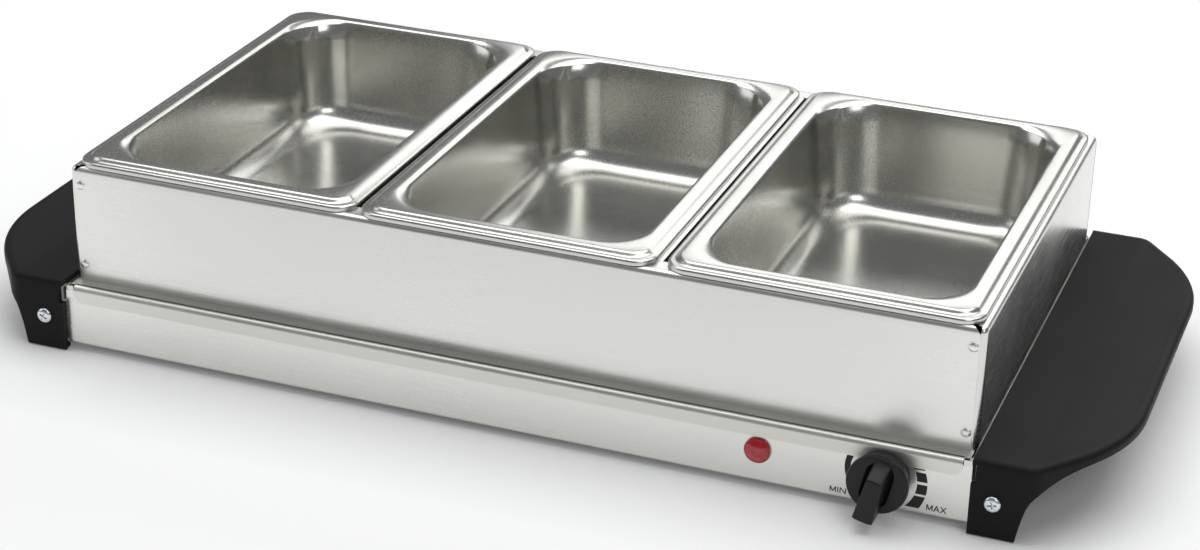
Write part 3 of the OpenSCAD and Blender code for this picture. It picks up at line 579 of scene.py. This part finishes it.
upper, lower = tray_level(0.0), tray_level(T)
v1, f1 = loft(upper, caps=(False, True))
v2, f2 = loft(lower[::-1], caps=(True, False))
n = len(upper[0])
last_ring = len(v1) + (len(lower) - 1) * n
join = [(i, (i + 1) % n, last_ring + (i + 1) % n, last_ring + i) for i in range(n)]
parts = [(v1 + v2, f1 + [tuple(i + len(v1) for i in f) for f in f2] + join)]
for sy in (-1, 1):
    def skirt_end(p):
        return FX - 4.0 - corner_cut(SKIRT_R - p[1])
    parts.append(sheet(fine_fold(SKIRT_H, FOLD, FOLD + 1, low=SKIRT_R), T,
                       lambda u, p, sy=sy: place(u, sy * (TY - p[0]), tray_lo.z + p[1]),
                       lambda p: -skirt_end(p), skirt_end, 8))
for sx in (-1, 1):
    parts.append(sheet(fold_path(SKIRT_H, FOLD, FOLD + 1), T,
                       lambda u, p, sx=sx: place(sx * (TX - p[0]), u, tray_lo.z + p[1]),
                       lambda p: -(PY - T - 0.1), lambda p: PY - T - 0.1, 6))
piece("tray_pressing", parts, tray_steel, "base", ["tray_plate"])

# ---------- Base panels ----------
PANEL_X = FX + 0.8
for name, sy, lo, hi in (("front_panel", -1, panel_lo, panel_hi), ("rear_panel", 1, rear_lo, rear_hi)):
    face = PY if sy < 0 else rear_hi.y - BY
    top = hi.z - FOLD + 0.1
    wall = sheet(fold_path(top - lo.z, 1.5, 12.0), T,
                 lambda u, p: place(u, sy * (face - p[0]), top - p[1]),
                 lambda p: -PANEL_X, lambda p: PANEL_X, 8)
    parts = [wall]
    for sx in (-1, 1):
        x0, x1 = sorted((sx * (PANEL_X - 0.02), sx * hi.x))
        y0, y1 = sorted((sy * (face - 0.05), sy * (face - T + 0.05)))
        parts.append(block(x0, x1, y0, y1, lo.z + 2, LEDGE - SKIRT_H - 1, 0.1))
        x0, x1 = sorted((sx * (FX - 3.7), sx * (PANEL_X - 0.02)))
        parts.append(block(x0, x1, y0, y1, top - 1, hi.z, 0.1))
    piece(name + "_sheet", parts, front_steel, "base", [name])

# ---------- Handles ----------
GI, GO, GY, GT = grip_lo.x, grip_hi.x, grip_hi.y - BY, grip_hi.z
NOSE_R, BULGE_R, TAPER, WALL, RIM_H = 10.0, 100.0, math.radians(39), 3.0, 6.0
BULGE_X, BULGE_Y = GO - BULGE_R, GY - 83.0
NOSE_X = BULGE_X + (BULGE_R - NOSE_R - (GY - NOSE_R - BULGE_Y) * math.sin(TAPER)) / math.cos(TAPER)
LEG_X, KNEE_X, KNEE_Z, ARCH_X = GI + 23.5, GI + 30.0, LEDGE - 14.8, GI + 55.0


def grip_line():
    """Half of the handle's outline, front inner end to the middle of the outer side: (x, y, nx, ny)."""
    pts = [(GI + (NOSE_X - GI) * k / 14, -GY, 0.0, -1.0) for k in range(14)]
    for k in range(15):
        a = -math.pi / 2 + (math.pi / 2 - TAPER) * k / 14
        pts.append((NOSE_X + NOSE_R * math.cos(a), -GY + NOSE_R + NOSE_R * math.sin(a),
                    math.cos(a), math.sin(a)))
    x0, y0 = pts[-1][:2]
    x1, y1 = BULGE_X + BULGE_R * math.cos(TAPER), -BULGE_Y - BULGE_R * math.sin(TAPER)
    nx, ny = math.cos(TAPER), -math.sin(TAPER)
    pts += [(x0 + (x1 - x0) * k / 16, y0 + (y1 - y0) * k / 16, nx, ny) for k in range(1, 16)]
    for k in range(19):
        a = -TAPER + TAPER * k / 18
        pts.append((BULGE_X + BULGE_R * math.cos(a), -BULGE_Y + BULGE_R * math.sin(a),
                    math.cos(a), math.sin(a)))
    pts += [(GO, -BULGE_Y * (1 - k / 6), 1.0, 0.0) for k in range(1, 6)]
    return pts


def leg_bottom(x):
    """Height of the outer wall's lower edge: foot, leg's outer edge, arch, then rim."""
    rim = GT - RIM_H
    if x <= LEG_X:
        return 0.0
    if x < KNEE_X:
        s = (x - LEG_X) / (KNEE_X - LEG_X)
        return KNEE_Z * (0.35 * s + 0.65 * (1 - (1 - s) ** 2))
    if x < ARCH_X:
        arch_w = (ARCH_X - KNEE_X) / math.cos(math.radians(40))
        arch_h = (rim - KNEE_Z) / (1 - math.sin(math.radians(40)))
        return rim - arch_h * (1 - math.sqrt(max(0.0, 1 - ((ARCH_X - x) / arch_w) ** 2)))
    return rim


def handle_mesh():
    half = grip_line()
    # Extra columns where the leg's outer edge is steep
    dense = []
    for a, b in zip(half, half[1:]):
        steps = 8 if LEG_X - 3 < a[0] < KNEE_X + 4 and b[0] > a[0] else 1
        for k in range(steps):
            s = k / steps
            nx, ny = a[2] + (b[2] - a[2]) * s, a[3] + (b[3] - a[3]) * s
            ln = math.hypot(nx, ny)
            dense.append((a[0] + (b[0] - a[0]) * s, a[1] + (b[1] - a[1]) * s, nx / ln, ny / ln))
    dense.append(half[-1])
    line = dense + [(x, -y, nx, -ny) for x, y, nx, ny in reversed(dense)]
    top_r, e = 3.0, 0.8
    columns = []
    for x, y, nx, ny in line:
        zb = leg_bottom(x)
        levels = [(top_r + 2.6, GT - 0.3), (top_r + 2.0, GT - 0.05), (top_r + 1.4, GT)]
        for k in range(7):
            a = math.radians(90 - 90 * k / 6)
            levels.append((top_r * (1 - math.cos(a)), GT - top_r * (1 - math.sin(a))))
        z0 = GT - top_r
        levels += [(0.0, z0 + (zb + e - z0) * k / 6) for k in range(1, 7)]
        levels += [(e * (1 - math.cos(math.radians(a))), zb + e * (1 - math.sin(math.radians(a))))
                   for a in (30, 60, 90)]
        levels += [(WALL - e, zb), (WALL, zb + e)]
        levels += [(WALL, zb + e + (GT - WALL - zb - e) * k / 4) for k in range(1, 5)]
        columns.append([(x - nx * o, y - ny * o, z) for o, z in levels])
    n, m = len(columns[0]), len(columns)
    verts = [place(max(p[0], GI), p[1], p[2]) for c in columns for p in c]
    faces = []
    for j in range(m - 1):
        faces += [(j * n + i, j * n + i + 1, (j + 1) * n + i + 1, (j + 1) * n + i) for i in range(n - 1)]
    # Top and underside of the plate, bridged from front to back
    for j in range(m // 2 - 1):
        a, b, c, d = j, j + 1, m - 2 - j, m - 1 - j
        faces.append((a * n, b * n, c * n, d * n))
        faces.append((a * n + n - 1, b * n + n - 1, c * n + n - 1, d * n + n - 1))
    faces.append(tuple(list(range(n)) + [(m - 1) * n + i for i in range(n - 1, -1, -1)]))
    return verts, faces


shell = handle_mesh()
foot_parts = []
for sy in (-1, 1):
    y0, y1 = sorted((sy * (GY - 0.2), sy * (GY - 6.0)))
    foot_parts.append(block(GI + 0.1, LEG_X - 0.1, y0, y1, 0.0, 3.0, 0.8))
    y0, y1 = sorted((sy * (GY - 24.0), sy * (GY - 26.4)))
    foot_parts.append(block(TX + 0.4, NOSE_X + 12, y0, y1, GT - RIM_H, GT - WALL + 0.5, 0.4))
foot_parts.append(block(TX + 0.4, TX + 3.4, -(GY - 12), GY - 12, 8.0, GT - WALL + 0.5, 0.4))
notch = block(GI - 2, TX + 0.3, -GY - 2, GY + 2, tray_lo.z - 0.6, LEDGE + 0.2, 0.05)
for name, flip in (("handle_left", True), ("handle_right", False)):
    parts = [shell]
    cutter = notch
    extra = foot_parts
    if flip:
        parts, cutter, extra = [mirror_x(shell)], mirror_x(notch), [mirror_x(p) for p in foot_parts]
    piece(name + "_shell", parts, handle_plastic, "base", [name], 40, [cutter])
    piece(name + "_webs", extra, handle_plastic, "base", (), 40)


# ---------- Screws ----------
def cross_screw(origin, out, head_r, head_h, length, shank_r, spin):
    crown = [(0.05, head_h), (head_r * 0.35, head_h * 0.985), (head_r * 0.6, head_h * 0.92),
             (head_r * 0.8, head_h * 0.78),
             (head_r * 0.93, head_h * 0.55), (head_r, head_h * 0.28), (head_r, 0.05), (head_r * 0.98, 0.0),
             (shank_r, 0.0), (shank_r, -length + 0.5), (shank_r * 0.6, -length), (0.05, -length)]
    body = lathe(crown, origin, out, 48, (True, True), spin)
    cuts = []
    for turn in (0, 90):
        a = math.radians(spin + turn)
        ca, sa = math.cos(a), math.sin(a)
        hl, hw = head_r * 0.56, head_r * 0.105
        verts = []
        for depth, k in ((head_h + 0.5, 1.15), (head_h * 0.35, 0.62)):
            for u, v in ((-1, -1), (1, -1), (1, 1), (-1, 1)):
                lu, lv = u * hl * k, v * hw * k
                verts.append(out(origin, lu * ca - lv * sa, lu * sa + lv * ca, depth))
        cuts.append((verts, [(0, 1, 2, 3), (7, 6, 5, 4), (0, 4, 5, 1),
                             (1, 5, 6, 2), (2, 6, 7, 3), (3, 7, 4, 0)]))
    return body, cuts


screw_lo, screw_hi = mm_box("handle_screws")
head_r = (screw_hi.z - screw_lo.z) / 2
screw_x, screw_z = screw_hi.x - head_r, (screw_lo.z + screw_hi.z) / 2
spins = iter((62, 12, 35, 80))
for label, out, y in (("front", to_front, -GY), ("rear", to_back, GY)):
    for side, sx in (("left", -1), ("right", 1)):
        body, cuts = cross_screw(place(sx * screw_x, y, screw_z), out, head_r, 2.2, 9.0, 2.0, next(spins))
        piece(f"handle_screw_{label}_{side}", [body], zinc, "base",
              ["handle_screws"] if label == "front" and sx < 0 else (), 30, cuts)

_, low_hi = mm_box("bottom_screws")
columns_x = (60.0, low_hi.x - 3.0)
first = True
for x in columns_x:
    for sx in (-1, 1):
        for sy in (-1, 1):
            origin = place(sx * x, sy * (low_hi.y - BY - 3.0), panel_lo.z - T)
            body, cuts = cross_screw(origin, to_floor, 3.0, 1.6, 5.0, 1.5, 17 * x + 40 * sx + 25 * sy)
            piece(f"bottom_screw_{int(x)}_{'r' if sx > 0 else 'l'}{'b' if sy > 0 else 'f'}", [body],
                  zinc,
                  "base", ["bottom_screws"] if first else (), 30, cuts)
            first = False

# ---------- Pilot lamp ----------
lamp_lo, lamp_hi = mm_box("lamp_lens")
lamp_r = (lamp_hi.x - lamp_lo.x) / 2
lamp_at = place((lamp_lo.x + lamp_hi.x) / 2, -PY, (lamp_lo.z + lamp_hi.z) / 2)
stand = panel_lo.y - lamp_lo.y
lens = [(lamp_r - 2.6, -3.8), (lamp_r - 1.2, -4.0), (lamp_r - 1.2, 0.0), (lamp_r, 0.0), (lamp_r, 1.0),
        (lamp_r - 0.15, 1.35),
        (lamp_r - 0.5, 1.6), (lamp_r - 0.8, 1.45), (lamp_r - 1.0, 1.5)]
sphere_r = 12.4
for k in range(9):
    r = (lamp_r - 1.15) * (1 - k / 8) + 0.05
    lens.append((r, stand - (sphere_r - math.sqrt(sphere_r ** 2 - r ** 2)) * 1.15))
lens += [(0.05, stand - 1.6), (1.6, stand - 2.1), (3.2, 0.4), (lamp_r - 2.6, -0.6)]
piece("lamp_lens_moulding", [lathe(lens, lamp_at, to_front, 64)], lamp_red,
      "base", ["lamp_lens"], 28)

# ---------- Knob ----------
joint = next(j for j in record["behaviour"]["joints"] if j["name"] == "knob_turn")
knob_at = tuple(c * MM for c in joint["pos_m"])
knob_lo, knob_hi = mm_box("control_knob")
KNOB_R = knob_hi.x - knob_at[0]
KNOB_H = panel_lo.y - knob_lo.y
REST = math.radians(12.6)
BACK = 1.3
DISC_H = 10.8
DISC = BACK + DISC_H
skirt = [(9.0, BACK + 2.5), (9.0, BACK), (KNOB_R - 2.4, BACK), (KNOB_R - 2.1, BACK + 0.3),
         (KNOB_R - 1.75, BACK + 2.4)]
for step in range(3):
    r, d = KNOB_R - 1.7 + step * 0.35, BACK + 2.6 + step * 1.45
    skirt += [(r - 0.28, d), (r - 0.28, d + 0.2), (r, d + 0.35), (r + 0.05, d + 1.3)]
skirt += [(KNOB_R - 1.1, DISC - 3.75), (KNOB_R - 1.1, DISC - 3.35), (KNOB_R - 0.15, DISC - 3.1),
          (KNOB_R, DISC - 2.7),
          (KNOB_R, DISC - 1.0), (KNOB_R - 0.3, DISC - 0.3), (KNOB_R - 1.0, DISC), (0.05, DISC)]


def knob_turned(x, v, d):
    return to_front(knob_at, x * math.cos(REST) + v * math.sin(REST),
                    v * math.cos(REST) - x * math.sin(REST), d)


bar_top, bar_low, up, down = 8.5 / 2, 10.8 / 2, KNOB_R - 2.0, KNOB_R - 0.2
hollow = []
scoop = ((DISC - 2.0, 2.4), (DISC - 1.5, 1.4), (DISC - 0.7, 0.5), (DISC + 0.2, 0.0), (DISC + 1.0, 0.0))
for d, inset in scoop:
    flat = ring(0.0, 0.0, 7.4 - inset, 12.6 - inset, 6.6 - inset, d, 10, 4)
    hollow.append([knob_turned(x, v, w) for x, v, w in flat])
piece("knob_skirt", [lathe(skirt, knob_at, to_front, 96, (True, True))],
      knob_plastic, "knob",
      ["control_knob"], 34, [loft(hollow, caps=(True, True))])

loops = []
draft = [(DISC - 5.5, 0.0), (DISC, 0.0), (DISC + 6.0, 0.05), (KNOB_H - 0.9, 0.1)]
draft += [(KNOB_H - 0.7 * (1 - math.sin(math.radians(a))), 0.1 + 0.7 * (1 - math.cos(math.radians(a))))
          for a in (30, 60, 90)]
for d, inset in draft:
    k = min(1.0, max(0.0, (d - DISC) / (KNOB_H - DISC)))
    top = up - k * (up - 8.4)
    flat = ring(0.0, (top - down) / 2, 1.0, (top + down) / 2 - inset, 0.9, d, 8, 4)
    row = []
    for x, v, w in flat:
        f = (top - v) / (top + down)
        row.append(knob_turned(x * (bar_top + f * (bar_low - bar_top) - inset), v, w))
    loops.append(row)
piece("knob_bar", [loft(loops, caps=(True, True))], knob_plastic, "knob", (), 34)

# ---------- Dial print ----------
INK = 0.05


def print_part(points):
    """A thin raised patch on the front panel from a list of (x, z)."""
    n = len(points)
    verts = [place(x, -PY + 0.01, z) for x, z in points] + [place(x, -PY - INK, z) for x, z in points]
    faces = [tuple(range(n)), tuple(range(2 * n - 1, n - 1, -1))]
    faces += [(i, (i + 1) % n, n + (i + 1) % n, n + i) for i in range(n)]
    return verts, faces


def stroke(x0, z0, x1, z1, w=0.55):
    dx, dz = x1 - x0, z1 - z0
    ln = math.hypot(dx, dz)
    ux, uz = -dz / ln * w / 2, dx / ln * w / 2
    return print_part([(x0 + ux, z0 + uz), (x1 + ux, z1 + uz), (x1 - ux, z1 - uz), (x0 - ux, z0 - uz)])


def word(text, cx, cz, h, w, gap):
    shapes = {
        "M": [(0, 0, 0, 1), (0, 1, 0.5, 0.12), (0.5, 0.12, 1, 1), (1, 1, 1, 0)],
        "I": [(0.5, 0, 0.5, 1)], "N": [(0, 0, 0, 1), (0, 1, 1, 0), (1, 0, 1, 1)],
        "A": [(0, 0, 0.5, 1), (0.5, 1, 1, 0), (0.18, 0.34, 0.82, 0.34)], "X": [(0, 0, 1, 1), (0, 1, 1, 0)],
    }
    widths = [w * (0.25 if c == "I" else 1.0) for c in text]
    total = sum(widths) + gap * (len(text) - 1)
    x, parts = cx - total / 2, []
    for c, cw in zip(text, widths):
        parts += [stroke(x + a * cw, cz - h / 2 + b * h,
                         x + cc * cw, cz - h / 2 + d * h) for a, b, cc, d in shapes[c]]
        x += cw + gap
    return parts


# The dial's two spirals: the radius START_TURN degrees clockwise from straight down, and its growth per degree
dial_x, dial_z = knob_at[0] - 1.2, knob_at[2] - 0.5
OUTER_START, OUTER_GROWTH = 17.7, 0.031
INNER_START, INNER_GROWTH = 15.0, 0.0185
START_TURN = 75


def dial_point(z, start, growth, side):
    """The point at height z on one of the dial's spirals; side is -1 on the left, 1 on the right."""
    r = start
    for _ in range(8):
        a = math.degrees(math.acos(max(-1.0, min(1.0, (dial_z - z) / r))))
        turn = a if side < 0 else 360 - a
        r = start + (turn - START_TURN) * growth
    return dial_x - r * math.sin(math.radians(turn)), z


def band(side, low, high):
    """A stretch of the dial's widening ring between two heights."""
    heights = [dial_z + low + (high - low) * k / 12 for k in range(13)]
    outer = [dial_point(z, OUTER_START, OUTER_GROWTH, side) for z in heights]
    inner = [dial_point(z, INNER_START, INNER_GROWTH, side) for z in heights]
    return print_part(outer + inner[::-1])


marks = [band(-1, -9.2, 7.6), band(1, 7.0, 7.7), band(1, 0.5, 5.6),
         band(1, -6.4, -1.0), band(1, -14.3, -7.6)]
marks += word("MIN", knob_at[0] - 22.1, knob_at[2] - 13.4, 3.1, 2.75, 0.85)
marks += word("MAX", knob_at[0] + 28.0, knob_at[2] - 13.2, 3.3, 2.65, 0.83)
piece("dial_print", marks, ink, "base", (), 20)

# ---------- Rear ----------
gland_lo, gland_hi = mm_box("cord_gland")
gr = (gland_hi.x - gland_lo.x) / 2
gland_at = place((gland_lo.x + gland_hi.x) / 2, rear_hi.y - BY, (gland_lo.z + gland_hi.z) / 2)
bush = [(4.0, 2.4), (4.6, 2.9), (gr - 1.2, 3.0), (gr - 0.3, 2.6), (gr, 1.8), (gr, 0.1),
        (gr - 2.5, 0.0), (gr - 2.5, -12.0), (4.0, -12.0)]
v, f = lathe(bush, gland_at, to_back, 64)
rows = len(bush)
f += [((rows - 1) * 64 + i, (rows - 1) * 64 + (i + 1) % 64, (i + 1) % 64, i) for i in range(64)]
piece("gland_bush", [(v, f)], gland_plastic, "base", ["cord_gland"], 30)

# ---------- Stage, light and camera ----------
floor_mesh = mesh_of("floor", [loft([ring(0, 0, 60000, 60000, 50000, -0.4, 12, 4)], caps=(False, True))])
floor = bpy.data.objects.new("floor", floor_mesh)
scene.collection.objects.link(floor)
floor_mat, nt, bsdf = base_material("floor")
cloud = noise(nt, 0.6, detail=2.0)
nt.links.new(tint(nt, cloud, (0.90, 0.90, 0.90), (0.93, 0.93, 0.93)), bsdf.inputs["Base Color"])
nt.links.new(spread(nt, cloud, 0.65, 0.8), bsdf.inputs["Roughness"])
bsdf.inputs["Emission Color"].default_value = (1.0, 1.0, 1.0, 1.0)
bsdf.inputs["Emission Strength"].default_value = 0.05
floor.data.materials.append(floor_mat)

world = bpy.data.worlds.new("studio")
scene.world = world
world.use_nodes = True
world.node_tree.nodes["Background"].inputs[0].default_value = (0.95, 0.97, 1.0, 1)
world.node_tree.nodes["Background"].inputs[1].default_value = 0.20


def softbox(name, at, aim, w, h, power, colour=(1, 1, 1)):
    light = bpy.data.lights.new(name, "AREA")
    light.shape, light.size, light.size_y, light.energy, light.color = "RECTANGLE", w, h, power, colour
    ob = bpy.data.objects.new(name, light)
    scene.collection.objects.link(ob)
    ob.location = at
    ob.rotation_euler = (Vector(aim) - Vector(at)).to_track_quat("-Z", "Y").to_euler()
    return ob


softbox("overhead", (0.0, 0.5, 2.3), (0, 0.1, 0), 3.2, 2.2, 53)
softbox("left_wall", (-2.2, -0.6, 1.2), (0, 0, 0.1), 1.6, 1.6, 9)
softbox("front_right", (1.6, -1.6, 1.8), (0, 0, 0.05), 1.0, 1.0, 9)
softbox("back_strip", (0.3, 2.6, 1.5), (0, 0, 0.1), 3.0, 1.0, 16)

camera = bpy.data.cameras.new("camera")
camera.lens, camera.sensor_width, camera.clip_end = 80.31, 36.0, 200
cam = bpy.data.objects.new("camera", camera)
scene.collection.objects.link(cam)
right = Vector((0.93496, 0.35406, 0.02238))
up_axis = Vector((-0.1690, 0.3892, 0.9055))
ahead = Vector((-0.31190, 0.85041, -0.42370))
turn = Matrix((right, up_axis, -ahead)).transposed().to_4x4()
cam.matrix_world = Matrix.Translation((0.4700, -1.26205, 0.6627)) @ turn
scene.camera = cam
scene.view_settings.view_transform = "Standard"
